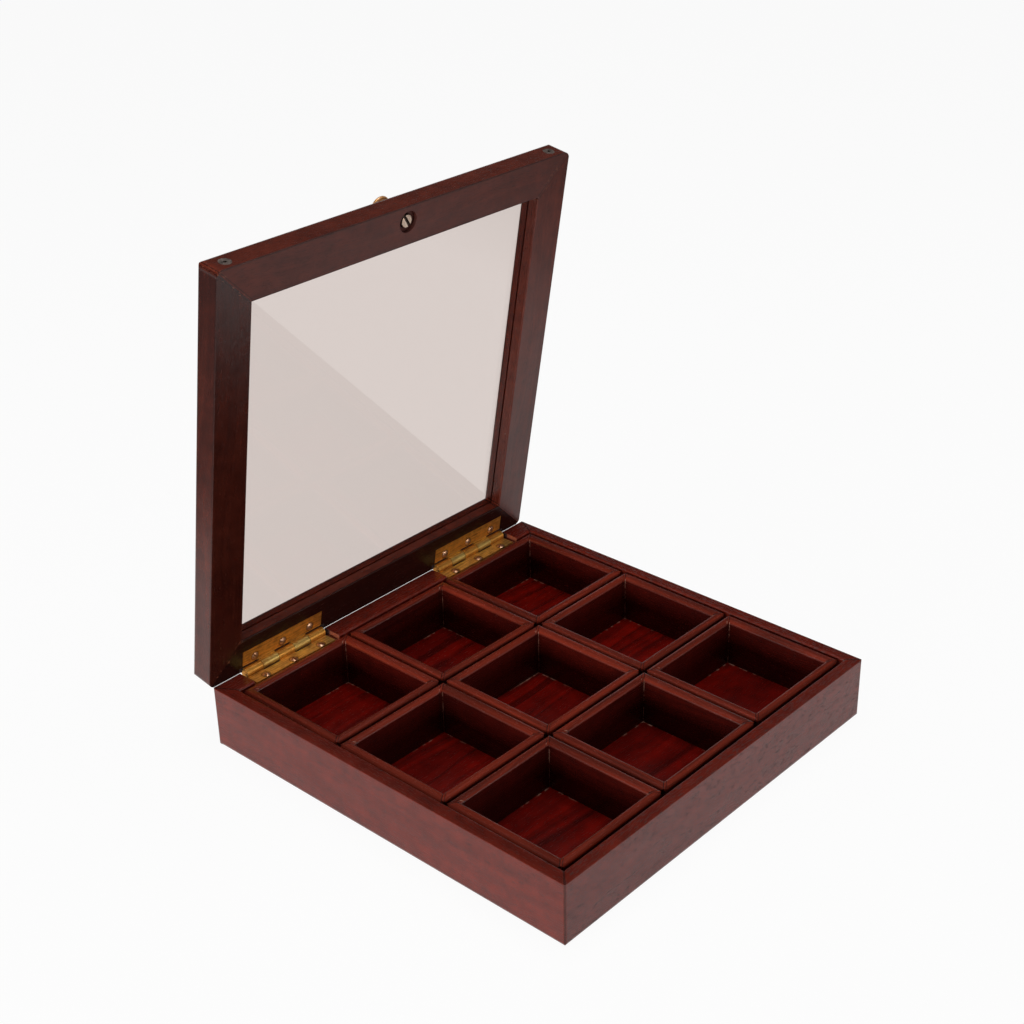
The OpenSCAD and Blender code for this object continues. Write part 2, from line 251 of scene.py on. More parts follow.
class Board:
    """Where a board lies: grain is the turn that brings its grain onto X. In that frame, in mm,
    low and high are its corners, outer says which side of Y is the outside of its frame ("low",
    "high", or "both" for a pair), thick is its width there and ends are its neighbours' widths."""

    def __init__(self, node, grain, outer="both", thick=0.0, ends=(0.0, 0.0)):
        turn = Euler(grain).to_matrix()
        places = [turn @ vertex.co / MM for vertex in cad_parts[node].data.vertices]
        self.low = Vector(min(place[i] for place in places) for i in range(3))
        self.high = Vector(max(place[i] for place in places) for i in range(3))
        self.centre, self.half = (self.low + self.high) / 2, (self.high - self.low) / 2
        self.node, self.grain, self.outer, self.thick, self.ends = node, grain, outer, thick, ends


class Finish:
    """How a board is finished and what is cut into it. tones are its dark and its light colour,
    sawn is where it was sawn from the log, in mm, and the rest has defaults."""

    rings = (0.42, 5.0)  # how close and how detailed the growth rings are
    fibres = 0.5  # share of the fibres in its figure, beside that of the rings
    pores = (0.35, 0.15)  # how dark and how rough the pores are
    under = (1.0, 0.0)  # share of brightness the underside keeps, painted shade below 1 and painted light above 1, and its extra roughness
    rim = None  # colour of the painted light along its upper edge
    wear = 0.3  # strength of the worn edges, and of dark lines along the arrises instead where it is below 0
    scuff = 0.0  # strength of the chips at its corners
    fade = 0.0  # how much painted shade darkens its outer face towards its low end
    glue = False  # whether dried glue is seen in its inner corners
    bed = None  # "top" or "under", the face that hinges are let into
    bore = None  # the node of the screw in its counterbore

    def __init__(self, tones, sawn, **others):
        self.tones, self.sawn = tones, sawn
        for name, value in others.items():
            if not hasattr(self, name):
                raise TypeError(f"a finish has no {name}")
            setattr(self, name, value)


def middle_of(s, first, second, third):
    """The middle one of three distances."""
    low, high = s.math("MINIMUM", first, second), s.math("MAXIMUM", first, second)
    return s.math("MAXIMUM", low, s.math("MINIMUM", high, third))


def hinge_marks(s, spot):
    """How far a place is from a hinge's middle, along the hinge, and from the hinge axis, in mm."""
    pin_low, pin_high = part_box("hinge_right_pin")
    axis = (Vector(pin_low) + Vector(pin_high)) / 2 / MM
    x, y, z = s.parts(spot)
    beside = s.math("ABSOLUTE", s.math("SUBTRACT", s.math("ABSOLUTE", x), axis[0]))
    flat = s.node("ShaderNodeCombineXYZ", {1: s.math("SUBTRACT", y, axis[1]), 2: s.math("SUBTRACT", z, axis[2])})
    return beside, s.vector("LENGTH", flat.outputs[0])


class StainedWood(Shader):
    """Stained and lacquered wood for one board. In it, spot is a place on the board in mm, with the
    grain along X, and height is how far that lies above the board's low face."""

    PITH = (0.0, -35.0, -60.0)  # from the log's heart, which the growth rings bend round, in mm
    SWAY = (0.0, 26.0, 26.0)  # how far the grain wanders, in mm

    # Patterns of noise per mm, along the grain and across it.
    DRIFT = (0.006, 0.022, 0.022)
    CLOUDS = (0.012, 0.03, 0.03)
    FIBRES = (0.045, 1.6, 1.6)
    PORES = (0.26, 1.8, 1.8)
    RIPPLES = (0.03, 0.09, 0.09)

    # Where a mark starts and ends, in mm from an edge, a joint or the board's low face.
    ARRIS_WORN = (0.1, 0.9)
    ARRIS_DARK = (0.2, 0.9)
    MITRE = (0.12, 0.50)
    MITRE_SIDE = (0.2, 0.5, 0.9)
    CORNER = (0.5, 1.3)
    INSIDE = (0.3, 0.6)
    RIM = (2.0, 0.8)
    UNDERSIDE = (0.4, 1.2)
    FLOOR_SEAM = (0.3, 1.0)
    FLOOR_CORNER = (6.0, 24.0)
    OUTER_FACE = (0.2, 0.6)

    def __init__(self, board, wood, look):
        super().__init__(board.node + "_wood")
        self.board, self.wood, self.look = board, wood, look
        self.place = self.node("ShaderNodeTexCoord").outputs["Object"]
        turned = self.node("ShaderNodeMapping", {"Vector": self.place, "Rotation": board.grain}).outputs[0]
        self.spot = self.vector("SCALE", turned, scale=1.0 / MM)
        self.height = self.math("SUBTRACT", self.parts(self.spot)[2], board.low[2])
        self.patchy = self.noise(self.spot, scale=0.35, detail=3.0)
        self.grow()
        self.stain()
        if look.rim:
            self.brown_rim()
        self.measure()
        if board.thick:
            self.edges()
            self.joints()
        elif look.glue:
            self.glued_floor()
        if look.fade:
            self.paint_face_shade()
        if look.bore:
            self.counterbore()
        if look.bed:
            self.hinge_beds()
        self.lacquer()

    def paint(self, share, colour):
        """Covers a share of the board with a colour."""
        self.colour = self.mix(share, self.colour, rgba(colour))

    def paint_hollow_shade(self, mask, darkness, roughness):
        """Paints shade into a cut in the board, and roughens it."""
        self.paint(self.times(mask, darkness), SEAM_AND_SHADE)
        self.rough = self.math("MAXIMUM", self.rough, self.times(mask, roughness))

    def grow(self):
        """The grain: fibres, pores, and the tone that these make with the growth rings."""
        log = self.vector("ADD", self.spot, self.look.sawn)
        drift = self.noise(self.vector("MULTIPLY", log, self.DRIFT), output="Color")
        sway = self.vector("MULTIPLY", self.vector("SUBTRACT", drift, (0.5, 0.5, 0.5)), self.SWAY)
        bent = self.vector("ADD", log, sway)
        across = self.vector("MULTIPLY", self.vector("ADD", bent, self.PITH), (0.0, 1.0, 1.0))
        close, detail = self.look.rings
        rings = self.node(
            "ShaderNodeTexNoise",
            {"W": self.vector("LENGTH", across), "Scale": close, "Detail": detail, "Roughness": 0.62},
            noise_dimensions="1D",
        ).outputs["Fac"]
        self.fibres = self.noise(self.vector("MULTIPLY", bent, self.FIBRES), detail=4.0, roughness=0.65)
        cells = self.noise(self.vector("MULTIPLY", bent, self.PORES), roughness=0.6)
        self.pore = self.stretch(cells, 0.54, 0.66)
        cloud = self.noise(self.vector("MULTIPLY", log, self.CLOUDS), detail=3.0)
        share = self.look.fibres
        figure = self.math(
            "ADD", self.times(self.stretch(rings, 0.30, 0.70), 1.0 - share), self.times(self.fibres, share)
        )
        self.tone = self.math("ADD", self.times(figure, 0.65), self.times(self.stretch(cloud, 0.3, 0.7), 0.35))

    def stain(self):
        """The colour and the roughness before any wear."""
        look = self.look
        dark, light = look.tones
        pores = self.math("SUBTRACT", 1.0, self.times(self.pore, look.pores[0]))
        # Painted shade on the underside, and painted light where the share kept is above 1.
        under = self.stretch(self.height, *self.UNDERSIDE, look.under[0], 1.0)
        blotch = self.stretch(self.noise(self.spot, scale=0.14, detail=3.0), 0.30, 0.70, 0.78, 1.18)
        shade = self.times(pores, under, blotch)
        grey = self.node("ShaderNodeCombineColor", {0: shade, 1: shade, 2: shade}).outputs[0]
        self.colour = self.mix(self.stretch(self.tone, 0.22, 0.78), rgba(dark), rgba(light))
        self.colour = self.mix(1.0, self.colour, grey, "MULTIPLY")
        self.rough = self.math("ADD", self.wood.gloss - 0.02, self.times(self.fibres, 0.06))
        self.rough = self.math("ADD", self.rough, self.times(self.pore, look.pores[1]))
        below = self.falls(self.height, *self.UNDERSIDE)
        self.rough = self.math("ADD", self.rough, self.times(below, look.under[1]))

    def brown_rim(self):
        """Painted light: a lighter brown along the board's upper edge."""
        full = self.board.high[2] - self.board.low[2]
        top = self.stretch(self.height, full - self.RIM[0], full - self.RIM[1])
        deep = [part * 0.45 for part in self.look.rim]
        brown = self.mix(self.stretch(self.tone, 0.3, 0.7), rgba(deep), rgba(self.look.rim))
        self.colour = self.mix(top, self.colour, brown)

    def measure(self):
        """Distances in mm to the board's ends, its outer side, and its upper or lower face."""
        self.offset = self.vector("SUBTRACT", self.spot, self.board.centre)
        reach = self.vector("SUBTRACT", self.board.half, self.vector("ABSOLUTE", self.offset))
        self.along, self.across, self.up = self.parts(reach)
        if self.board.outer != "both":
            sign = 1.0 if self.board.outer == "high" else -1.0
            self.across = self.math("SUBTRACT", self.board.half[1], self.times(self.parts(self.offset)[1], sign))

    def edges(self):
        """Thin lacquer, or dark lines, along the arrises."""
        inward = self.math("ABSOLUTE", self.math("SUBTRACT", self.board.thick, self.across))
        outer = middle_of(self, self.along, self.across, self.up)
        arris = self.math("MINIMUM", outer, self.math("MAXIMUM", inward, self.up))
        if self.look.wear > 0:
            rubbed = self.times(self.falls(arris, *self.ARRIS_WORN), self.stretch(self.patchy, 0.30, 0.70))
            self.paint(self.times(rubbed, self.look.wear), self.wood.worn)
        else:
            self.paint(self.times(self.falls(arris, *self.ARRIS_DARK), -self.look.wear), SEAM_AND_SHADE)

    def joints(self):
        """Dark lines at the mitres, and glue or chips beside them."""
        board, look = self.board, self.look
        slope = self.stretch(
            self.parts(self.offset)[0], -1.0, 1.0, board.ends[0] / board.thick, board.ends[1] / board.thick
        )
        mitre = self.math("ABSOLUTE", self.math("SUBTRACT", self.along, self.times(slope, self.across)))
        line = self.falls(mitre, *self.MITRE)
        dark = self.times(line, 0.75)
        if look.glue:
            inward = self.math("ABSOLUTE", self.math("SUBTRACT", board.thick, self.across))
            inside = self.falls(inward, *self.INSIDE)
            self.paint(self.times(line, inside, self.stretch(self.patchy, 0.40, 0.60), 0.5), self.wood.glue)
            dark = self.times(dark, self.math("SUBTRACT", 1.0, inside))
        self.paint(dark, SEAM_AND_SHADE)
        if look.scuff:
            start, full, end = self.MITRE_SIDE
            beside = self.times(self.stretch(mitre, start, full), self.falls(mitre, full, end))
            corner = self.falls(self.math("MAXIMUM", self.along, self.across), *self.CORNER)
            chip = self.math(
                "MAXIMUM", self.times(beside, self.stretch(self.patchy, 0.52, 0.60)),
                self.times(corner, self.stretch(self.height, 0.5, 2.5, 1.0, 0.2)),
            )
            flecks = self.stretch(self.noise(self.spot, scale=0.8), 0.50, 0.58)
            self.paint(self.times(chip, flecks, look.scuff), self.wood.bare)

    def glued_floor(self):
        """Dried glue along a cup floor's edges, most of it near the corners."""
        seam = self.falls(self.math("MINIMUM", self.along, self.across), *self.FLOOR_SEAM)
        corner = self.falls(self.math("MAXIMUM", self.along, self.across), *self.FLOOR_CORNER)
        flecks = self.stretch(self.patchy, 0.48, 0.66, 0.0, 0.7)
        self.paint(self.times(seam, corner, flecks), self.wood.glue)

    def paint_face_shade(self):
        """Paints shade on the outer face, darkest at the board's low end."""
        low, high = self.board.low[0], self.board.high[0]
        face = self.stretch(self.across, *self.OUTER_FACE, self.look.fade, 0.0)
        end = self.falls(self.parts(self.spot)[0], low, low * 0.2 + high * 0.8)
        self.paint(self.times(face, end), SEAM_AND_SHADE)

    def counterbore(self):
        """Painted shade in the hole round a screw's head."""
        screw = Board(self.look.bore, self.board.grain)
        away = self.vector("MULTIPLY", self.vector("SUBTRACT", self.spot, screw.centre), (1.0, 1.0, 0.0))
        near = self.falls(self.vector("LENGTH", away), COUNTERBORE - 0.15, COUNTERBORE + 0.15)
        self.paint_hollow_shade(self.times(near, self.stretch(self.height, 0.1, 0.3)), 0.5, 0.6)

    def hinge_beds(self):
        """Bare wood in the beds of the hinges, and painted shade in the hollows behind their barrels."""
        beside, radius = hinge_marks(self, self.vector("SCALE", self.place, scale=1.0 / MM))
        pin_low, pin_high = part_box("hinge_right_pin")
        reach = (pin_high[0] - pin_low[0]) / 2 / MM + BED_ROOM
        cut = self.falls(beside, reach, reach + 0.1)
        if self.look.bed == "top":
            bottom = self.board.high[2] - self.board.low[2] - BED_DEPTH
            bare = self.stretch(self.height, bottom - 0.05, bottom + 0.05)
            self.paint(self.times(cut, bare, 0.6), self.wood.bare)
        # Painted shade in the hollow behind each barrel.
        behind = self.falls(radius, BARREL_HOLLOW - 0.1, BARREL_HOLLOW + 0.1)
        self.paint_hollow_shade(self.times(cut, behind), 0.9, 0.9)

    def lacquer(self):
        """The surface: pores and fibres in relief, and ripples in the lacquer."""
        relief = self.math("SUBTRACT", self.times(self.fibres, 0.4), self.pore)
        ripple = self.noise(self.vector("MULTIPLY", self.spot, self.RIPPLES), detail=1.0)
        normal = self.bump(ripple, 0.6, 0.0006, self.bump(relief, 0.4, 0.00005))
        skin = self.node(
            "ShaderNodeBsdfPrincipled",
            {"Base Color": self.colour, "Roughness": self.rough, "IOR": 1.5, "Normal": normal},
        )
        self.finish(skin.outputs[0])


def worn_brass(name, bright, dark, streak, roughness, metallic=0.95, leaf=None, slot=None):
    """Brass with streaks along one axis and dark tarnish in patches. leaf is for a hinge leaf: the
    colour of its knuckles, that of the painted highlight where the leaf bends into them, and the distance
    of its screws from the hinge axis, in mm, with painted shade round them. slot is the place of a screw whose slot
    gets painted shade."""
    s = Shader(name)
    place = s.vector("SCALE", s.node("ShaderNodeTexCoord").outputs["Object"], scale=1.0 / MM)
    brush = s.noise(s.vector("MULTIPLY", place, streak), detail=3.0, roughness=0.65)
    patch = s.noise(place, scale=0.22, detail=4.0, roughness=0.6)
    clean = s.stretch(s.math("ADD", s.times(brush, 0.6), s.times(patch, 0.5)), 0.38, 0.66)
    hue = rgba(bright)
    if leaf:
        knuckles, bend_highlight, row = leaf
        beside, radius = hinge_marks(s, place)
        hue = s.mix(s.stretch(radius, BARREL - 0.1, BARREL + 0.1), rgba(knuckles), hue)
        # Painted highlight beside the knuckles, where a leaf bends into its barrel.
        glow = s.times(s.stretch(radius, BARREL + 0.05, BARREL + 0.35), s.falls(radius, 3.5, 4.6), 0.6)
        hue = s.mix(glow, hue, rgba(bend_highlight))
    hue = s.mix(clean, rgba(dark), hue)
    if leaf:
        nearest = s.math("PINGPONG", beside, SCREW_SPACING / 2)
        away = s.node("ShaderNodeCombineXYZ", {0: nearest, 1: s.math("SUBTRACT", radius, row)}).outputs[0]
        # Painted shade round each screw's head.
        screw_shade = s.times(s.falls(s.vector("LENGTH", away), 2.2, 3.0), 0.75)
        hue = s.mix(screw_shade, hue, rgba([part * 0.35 for part in dark]))
    if slot:
        turned = s.node("ShaderNodeMapping", {"Vector": place, "Rotation": slot.grain}).outputs[0]
        depth = s.math("SUBTRACT", s.parts(turned)[2], slot.low[2])
        # Painted shade in the screw's slot.
        hue = s.mix(s.stretch(depth, 0.1, 0.3, 0.0, 0.9), hue, rgba(SEAM_AND_SHADE))
    rough = s.math("ADD", roughness, s.times(s.math("SUBTRACT", 1.0, clean), 0.2))
    normal = s.bump(brush, 0.35, 0.00005)
    skin = s.node(
        "ShaderNodeBsdfPrincipled", {"Base Color": hue, "Metallic": metallic, "Roughness": rough, "Normal": normal}
    )
    return s.finish(skin.outputs[0])


def pane_glass(name, tint):
    """Thin clear glass that lets lamps light what is behind it."""
    s = Shader(name)
    glass = s.node(
        "ShaderNodeBsdfPrincipled",
        {"Base Color": rgba(tint), "Roughness": 0.0, "IOR": 1.45, "Transmission Weight": 1.0},
    )
    clear = s.node("ShaderNodeBsdfTransparent", {"Color": rgba([math.sqrt(part) for part in tint])})
    path = s.node("ShaderNodeLightPath")
    both = s.node("ShaderNodeMixShader", {0: path.outputs["Is Shadow Ray"], 1: glass.outputs[0], 2: clear.outputs[0]})
    return s.finish(both.outputs[0])


def dress(node, material):
    """Gives a CAD node one material."""
    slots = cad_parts[node].data.materials
    slots.clear()
    slots.append(material)


def dress_board(board, wood, **look):
    """Gives a board its own wood."""
    dress(board.node, StainedWood(board, wood, Finish(**look)).material)


def seen_rays(s):
    """Two switches: 1 for camera, glossy and transmission rays, and 1 for rays that a surface has
    mirrored, also where they pass through the pane afterwards."""
    path = s.node("ShaderNodeLightPath").outputs
    seen = s.math("MAXIMUM", path["Is Camera Ray"], path["Is Glossy Ray"])
    seen = s.math("MAXIMUM", seen, path["Is Transmission Ray"])
    return seen, s.math("MINIMUM", path["Glossy Depth"], 1.0)


class Backdrop(Shader):
    """The world's nodes, with the same short calls."""

    def __init__(self, name):
        self.world = bpy.data.worlds.new(name)
        self.world.use_nodes = True
        self.tree = self.world.node_tree
        self.tree.nodes.clear()

    def finish(self, surface):
        output = self.node("ShaderNodeOutputWorld")
        self.tree.links.new(surface, output.inputs["Surface"])
        return self.world


# ---------------------------------------------------------------------------------------------
# Operators
# ---------------------------------------------------------------------------------------------


class TEABOX_OT_stage(bpy.types.Operator):
    """Adds the floor, the lamps, the world and the camera"""

    bl_idname = "teabox.stage"
    bl_label = "Studio"

    def execute(self, context):
        studio = context.scene.tea_studio
        self.camera(context, studio)
        self.floor()
        context.scene.world = self.backdrop(studio)
        self.lamps(context)
        context.scene.view_settings.view_transform = "Standard"
        return {"FINISHED"}

    def camera(self, context, studio):
        data = bpy.data.cameras.new("view_camera")
        data.lens = studio.lens
        data.sensor_width = 36.0
        data.clip_start, data.clip_end = 0.05, 20.0
        camera = bpy.data.objects.new("view_camera", data)
        context.scene.collection.objects.link(camera)
        a, e = studio.azimuth, studio.elevation
        back = Vector((math.sin(a) * math.cos(e), -math.cos(a) * math.cos(e), math.sin(e)))
        right = Vector((math.cos(a), math.sin(a), 0.0))
        up = back.cross(right)
        turn = Matrix.Rotation(studio.roll, 3, back)
        target = Vector(CAMERA_TARGET)
        axes = Matrix((turn @ right, turn @ up, back)).transposed()
        camera.matrix_world = Matrix.Translation(target + back * studio.distance) @ axes.to_4x4()
        context.scene.camera = camera

    def floor(self):
        """White paper, which reflections see only near the box."""
        bpy.ops.object.select_all(action="DESELECT")
        bpy.ops.mesh.primitive_plane_add(size=6.0, location=(0, 0, -0.0002))
        floor = bpy.context.active_object
        floor.name = "studio_floor"
        s = Shader("studio_floor_white")
        seen, mirrored = seen_rays(s)
        place = s.node("ShaderNodeTexCoord").outputs["Object"]
        dim = s.times(s.stretch(s.vector("LENGTH", place), 0.34, 0.44, 0.25, 0.88), mirrored)
        matt = s.node("ShaderNodeBsdfDiffuse", {"Color": (0.86, 0.86, 0.86, 1.0)})
        glow = s.node("ShaderNodeEmission", {"Strength": s.math("SUBTRACT", 1.0, dim)})
        mixed = s.node("ShaderNodeMixShader", {0: s.times(seen, 0.94), 1: matt.outputs[0], 2: glow.outputs[0]})
        floor.data.materials.append(s.finish(mixed.outputs[0]))

    def backdrop(self, studio):
        """White to the eye, and for reflections white low down and dark overhead."""
        s = Backdrop("studio_world")
        seen, mirrored = seen_rays(s)
        rise = s.parts(s.node("ShaderNodeTexCoord").outputs["Generated"])[2]
        dim = s.times(s.stretch(rise, 0.12, 0.30, 0.1, 0.94), mirrored)
        white = s.node("ShaderNodeBackground", {"Strength": s.math("SUBTRACT", 1.0, dim)})
        light = s.node("ShaderNodeBackground", {"Color": (1.0, 0.985, 0.97, 1.0), "Strength": studio.ambient})
        both = s.node("ShaderNodeMixShader", {0: seen, 1: light.outputs[0], 2: white.outputs[0]})
        return s.finish(both.outputs[0])

    def lamps(self, context):
        for name, azimuth, elevation, size, power in (
            ("lamp_left", -85.0, 6.0, (1.0, 0.25), 18.0),
            ("lamp_front", 5.0, 7.0, (1.0, 0.25), 7.0),
            ("lamp_top", 0.0, 86.0, (1.0, 1.0), 12.0),
        ):
            data = bpy.data.lights.new(name, "AREA")
            data.shape = "RECTANGLE"
            data.size, data.size_y = size
            data.energy = power
            lamp = bpy.data.objects.new(name, data)
            a, e = math.radians(azimuth), math.radians(elevation)
            back = Vector((math.sin(a) * math.cos(e), -math.cos(a) * math.cos(e), math.sin(e)))
            lamp.location = Vector(LAMP_TARGET) + back * LAMP_DISTANCE
            lamp.rotation_euler = (-back).to_track_quat("-Z", "Y").to_euler()
            lamp.visible_camera = False
            context.scene.collection.objects.link(lamp)


class TEABOX_OT_box_walls(bpy.types.Operator):
    """Finishes the box's walls and bottom panel"""

    bl_idname = "teabox.box_walls"
    bl_label = "Box walls"

    def execute(self, context):
        wood = context.scene.tea_wood
        left, right = width("base_left_wall", 0), width("base_right_wall", 0)
        front, back = width("base_front_wall", 1), width("base_back_wall", 1)
        boards = (
            (Board("base_left_wall", GRAIN_Y, "high", left, (front, back)), (0.0, 0.0, 0.0), (0.35, 0.1)),
            (Board("base_right_wall", GRAIN_Y, "low", right, (front, back)), (310.0, 40.0, 15.0), (0.5, 0.3)),
            (Board("base_front_wall", GRAIN_X, "low", front, (left, right)), (120.0, 70.0, -20.0), (0.7, 0.4)),
            (Board("base_back_wall", GRAIN_X, "high", back, (left, right)), (560.0, -90.0, 30.0), (0.35, 0.15)),
            (Board("base_bottom_panel", GRAIN_X), (930.0, 10.0, 60.0), (0.35, 0.15)),
        )
        for board, sawn, pores in boards:
            dress_board(
                board, wood, tones=(wood.box_deep, wood.box_warm), sawn=sawn, pores=pores, scuff=0.3,
                bed="top" if board.node == "base_back_wall" else None,
            )
        return {"FINISHED"}


class TEABOX_OT_lid_frame(bpy.types.Operator):
    """Finishes the lid's rails and stiles"""

    bl_idname = "teabox.lid_frame"
    bl_label = "Lid frame"

    def execute(self, context):
        wood = context.scene.tea_wood
        rail = width("lid_left_stile", 0)
        # The lid's inner face gets painted shade on the undersides of most boards and painted light on the right
        # stile's, and the left stile's outer face gets painted shade towards its front end.
        looks = {
            "lid_front_rail": (LID_GRAIN_X, "low", 1.45, dict(
                sawn=(70.0, 30.0, 0.0), under=(0.68, 0.22), wear=-0.6, bore="knob_screw")),
            "lid_back_rail": (LID_GRAIN_X, "high", 1.0, dict(
                sawn=(450.0, -30.0, 20.0), under=(0.18, 0.0), wear=0.1, bed="under")),
            "lid_left_stile": (LID_GRAIN_Y, "high", 1.0, dict(
                sawn=(0.0, 50.0, 40.0), under=(0.50, 0.0), wear=0.2, fade=0.6)),
            "lid_right_stile": (LID_GRAIN_Y, "low", 1.0, dict(
                sawn=(800.0, 20.0, -35.0), under=(1.2, 0.12), wear=0.2)),
        }
        for node, (grain, outer, light, look) in looks.items():
            tones = [[part * light for part in tone] for tone in (wood.lid_deep, wood.lid_warm)]
            board = Board(node, grain, outer, rail, (rail, rail))
            dress_board(board, wood, tones=tones, pores=(0.3, 0.02), scuff=0.8, **look)
        return {"FINISHED"}


class TEABOX_OT_cups(bpy.types.Operator):
    """Finishes the nine cups, each from its own boards"""

    bl_idname = "teabox.cups"
    bl_label = "Cups"

    def execute(self, context):
        wood = context.scene.tea_wood
        for row in range(3):
            for column in range(3):
                self.cup(wood, cup_name(row, column), 3 * row + column)
        return {"FINISHED"}

    def cup(self, wood, cup, number):
        side = (width(f"{cup}_side_boards", 0) - width(f"{cup}_floor", 0)) / 2
        end = (width(f"{cup}_side_boards", 1) - width(f"{cup}_floor", 1)) / 2
        common = dict(
            sawn=(137.0 * number + 11.0, 53.0 * number, 29.0 * number - 60.0), pores=(0.25, 0.03), wear=0.1, glue=True
        )
        for board in (
            Board(f"{cup}_side_boards", GRAIN_Y, "both", side, (end, end)),
            Board(f"{cup}_end_boards", GRAIN_X, "both", end, (side, side)),
        ):
            # The walls take the darker tones of painted shade, with a band of painted light at their rims.
            dress_board(board, wood, tones=(wood.wall_deep, wood.wall_warm), rim=wood.rim, **common)
        tones = (wood.floor_deep, wood.floor_warm)
        dress_board(Board(f"{cup}_floor", GRAIN_X), wood, tones=tones, rings=(0.17, 2.0), fibres=0.3, **common)


class TEABOX_OT_glass(bpy.types.Operator):
    """Finishes the pane"""

    bl_idname = "teabox.glass"
    bl_label = "Glass"

    def execute(self, context):
        dress("lid_glass", pane_glass("pane_glass", context.scene.tea_glass.tint))
        return {"FINISHED"}


class TEABOX_OT_metal(bpy.types.Operator):
    """Finishes the hinges, the knob and the screws"""

    bl_idname = "teabox.metal"
    bl_label = "Hinges, knob and screws"

    def execute(self, context):
        metal = context.scene.tea_metal
        base_knuckles = [part * 0.85 for part in metal.amber]
        lid_knuckles = [part * 0.75 for part in metal.gold]
        base = worn_brass(
            "base_leaf_brass", metal.gold, metal.tarnish, ALONG_HINGE, 0.38,
            leaf=(base_knuckles, metal.gold, BASE_SCREWS),
        )
        lid = worn_brass(
            "lid_leaf_brass", metal.amber, metal.tarnish, ALONG_HINGE, 0.38,
            leaf=(lid_knuckles, metal.gold, LID_SCREWS),
        )
        pin = worn_brass("pin_brass", metal.amber, metal.tarnish, ALONG_HINGE, 0.4)
        knob = worn_brass("knob_brass", metal.knob, metal.amber, (0.5, 0.5, 1.5), 0.3, metallic=0.5)
        head = Board("knob_screw", LID_GRAIN_X)
        screw = worn_brass("knob_screw_brass", metal.pale, metal.screw, CAST, 0.3, slot=head)
        steel = worn_brass("screw_steel", metal.steel, metal.grime, (0.6, 0.6, 0.6), 0.5)
        for side in ("left", "right"):
            dress(f"hinge_{side}_base_leaf", base)
            dress(f"hinge_{side}_lid_leaf", lid)
            dress(f"hinge_{side}_pin", pin)
        dress("lid_knob", knob)
        dress("knob_screw", screw)
        dress("lid_corner_screws", steel)
        return {"FINISHED"}


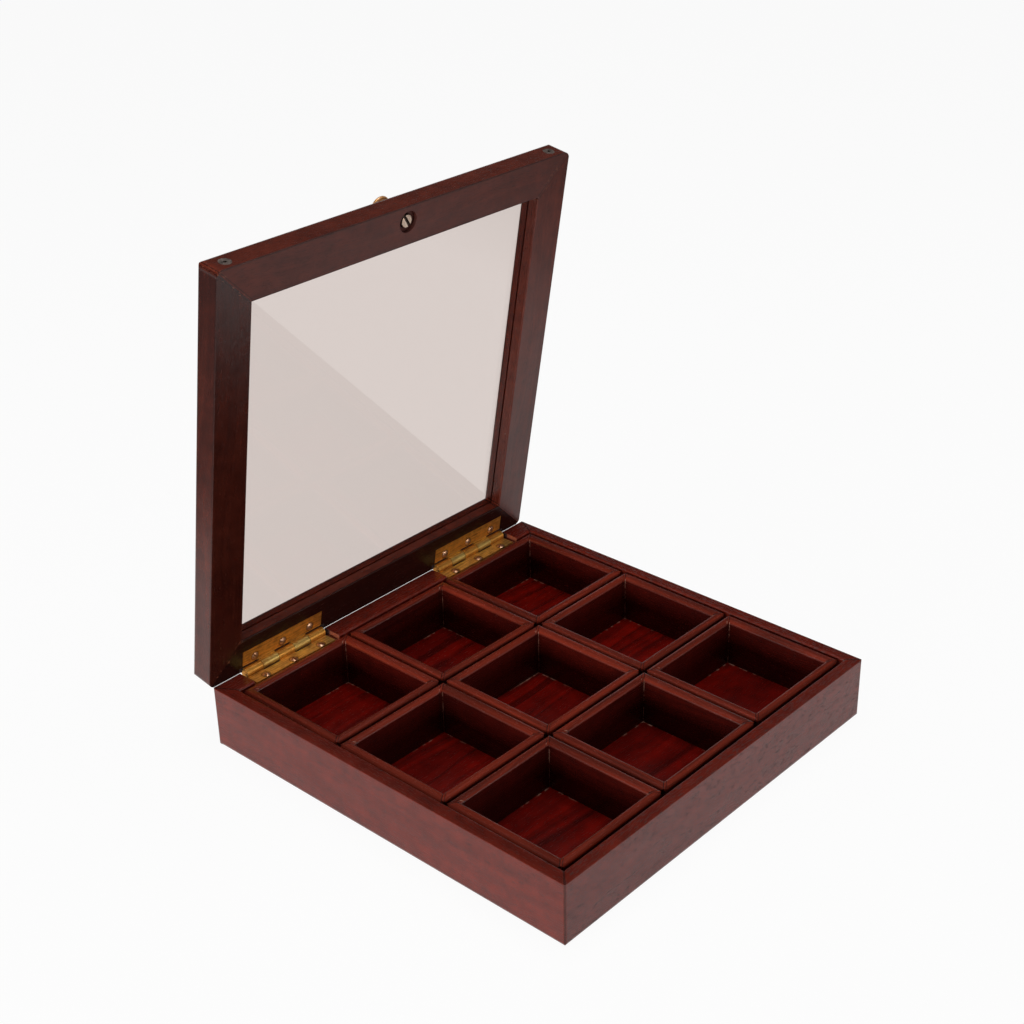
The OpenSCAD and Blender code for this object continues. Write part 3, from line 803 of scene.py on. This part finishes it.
class TEABOX_OT_hinge_screws(bpy.types.Operator):
    """Models the hinges' domed, slotted screws"""

    bl_idname = "teabox.hinge_screws"
    bl_label = "Hinge screws"

    head_radius = 2.1
    head_depth = 1.3
    shank_radius = 1.3
    length = 9.5
    slot_width = 0.8

    def execute(self, context):
        metal = context.scene.tea_metal
        brass = worn_brass("hinge_screw_brass", metal.screw, metal.tarnish, CAST, 0.34)
        master = self.model(metal.dome / MM)
        master.data.materials.append(brass)
        for side, sign in (("left", -1), ("right", 1)):
            self.place(master, f"hinge_{side}_base_screws", "box", GRAIN_X, False, 35.0 - 50.0 * sign)
            self.place(master, f"hinge_{side}_lid_screws", "lid", LID_GRAIN_X, True, 20.0 + 40.0 * sign)
        bpy.data.objects.remove(master)
        return {"FINISHED"}

    def model(self, dome):
        """One screw, its axis on Z, with the rim of its head at the origin's height."""
        bpy.ops.object.select_all(action="DESELECT")
        bpy.ops.mesh.primitive_circle_add(vertices=40, radius=self.head_radius * MM, fill_type="NGON")
        screw = bpy.context.active_object
        bpy.ops.object.mode_set(mode="EDIT")
        bpy.ops.mesh.select_all(action="SELECT")
        low = self.head_depth
        self.pull(0.0, -low, self.shank_radius / self.head_radius)
        self.pull(-low, -self.length + 1.5, 1.0)
        self.pull(-self.length + 1.5, -self.length, 0.15)
        bpy.ops.mesh.select_all(action="DESELECT")
        bpy.ops.object.mode_set(mode="OBJECT")
        for face in screw.data.polygons:
            face.select = abs(face.center.z) < 1e-6 and abs(face.normal.z) > 0.9
        bpy.ops.object.mode_set(mode="EDIT")
        ball = (self.head_radius ** 2 + dome ** 2) / (2 * dome)
        rings = [math.asin(self.head_radius / ball) * share for share in (1.0, 0.8, 0.6, 0.4, 0.2)]
        for before, after in zip(rings, rings[1:]):
            rise = [ball * math.cos(angle) - ball + dome for angle in (before, after)]
            self.pull(rise[0], rise[1], math.sin(after) / math.sin(before))
        bpy.ops.mesh.select_all(action="SELECT")
        bpy.ops.mesh.normals_make_consistent(inside=False)
        bpy.ops.object.mode_set(mode="OBJECT")
        self.slot(screw, dome)
        return screw

    def pull(self, start, end, scale):
        """Extrudes the selected face from one height to another, and scales it there."""
        bpy.ops.mesh.extrude_region_move(TRANSFORM_OT_translate={"value": (0.0, 0.0, (end - start) * MM)})
        bpy.ops.transform.resize(value=(scale, scale, 1.0), center_override=(0.0, 0.0, end * MM))

    def slot(self, screw, dome):
        """Saws the slot across the head."""
        bpy.ops.object.select_all(action="DESELECT")
        bpy.ops.mesh.primitive_cube_add(size=MM, location=(0.0, 0.0, (dome + 1.0) / 2 * MM))
        saw = bpy.context.active_object
        saw.scale = (6.0, self.slot_width, dome + 1.2)
        bpy.ops.object.transform_apply(location=True, rotation=True, scale=True)
        bpy.ops.object.select_all(action="DESELECT")
        screw.select_set(True)
        bpy.context.view_layer.objects.active = screw
        cut = screw.modifiers.new("slot", "BOOLEAN")
        cut.operation, cut.object, cut.solver = "DIFFERENCE", saw, "EXACT"
        bpy.ops.object.modifier_apply(modifier=cut.name)
        bpy.data.objects.remove(saw)
        bpy.ops.object.shade_smooth_by_angle(angle=math.radians(28.0))

    def place(self, master, node, body, grain, flipped, turn):
        """Puts three copies at a row of the model's screws, and joins them into one piece."""
        frame_turn = Euler(grain).to_matrix()
        row = Board(node, grain)
        spacing = row.half[0] - self.head_radius
        height = row.low[2] if flipped else row.high[2]
        flip = Matrix.Rotation(math.pi if flipped else 0.0, 4, "X")
        bpy.ops.object.select_all(action="DESELECT")
        for i in (-1, 0, 1):
            screw = master.copy()
            screw.data = master.data.copy()
            bpy.context.scene.collection.objects.link(screw)
            spot = Vector((row.centre[0] + i * spacing, row.centre[1], height)) * MM
            spin = Matrix.Rotation(math.radians(turn + 37.0 * i), 4, "Z")
            screw.matrix_world = frame_turn.inverted().to_4x4() @ Matrix.Translation(spot) @ flip @ spin
            screw.select_set(True)
            bpy.context.view_layer.objects.active = screw
        bpy.ops.object.join()
        piece = bpy.context.active_object
        piece.name = node.replace("screws", "domed_screws")
        bpy.ops.object.transform_apply(location=True, rotation=True, scale=True)
        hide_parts(node)
        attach(piece, body)


class TEABOX_PT_panel(bpy.types.Panel):
    """Lists the box's pieces"""

    bl_label = "Tea Box"
    bl_idname = "TEABOX_PT_panel"
    bl_space_type = "VIEW_3D"
    bl_region_type = "UI"
    bl_category = "Tea Box"

    def draw(self, context):
        for operator in OPERATORS:
            self.layout.operator(operator.bl_idname)


OPERATORS = (
    TEABOX_OT_stage,
    TEABOX_OT_box_walls,
    TEABOX_OT_lid_frame,
    TEABOX_OT_cups,
    TEABOX_OT_glass,
    TEABOX_OT_metal,
    TEABOX_OT_hinge_screws,
)
SETTINGS = (
    ("tea_wood", TeaBoxWood),
    ("tea_metal", TeaBoxMetal),
    ("tea_glass", TeaBoxGlass),
    ("tea_studio", TeaBoxStudio),
)


def register():
    for name, group in SETTINGS:
        bpy.utils.register_class(group)
        setattr(bpy.types.Scene, name, PointerProperty(type=group))
    for cls in (*OPERATORS, TEABOX_PT_panel):
        bpy.utils.register_class(cls)


def unregister():
    for cls in (TEABOX_PT_panel, *reversed(OPERATORS)):
        bpy.utils.unregister_class(cls)
    for name, group in reversed(SETTINGS):
        delattr(bpy.types.Scene, name)
        bpy.utils.unregister_class(group)


def main():
    register()
    for operator in OPERATORS:
        group, name = operator.bl_idname.split(".")
        getattr(getattr(bpy.ops, group), name)()


if __name__ == "__main__":
    main()
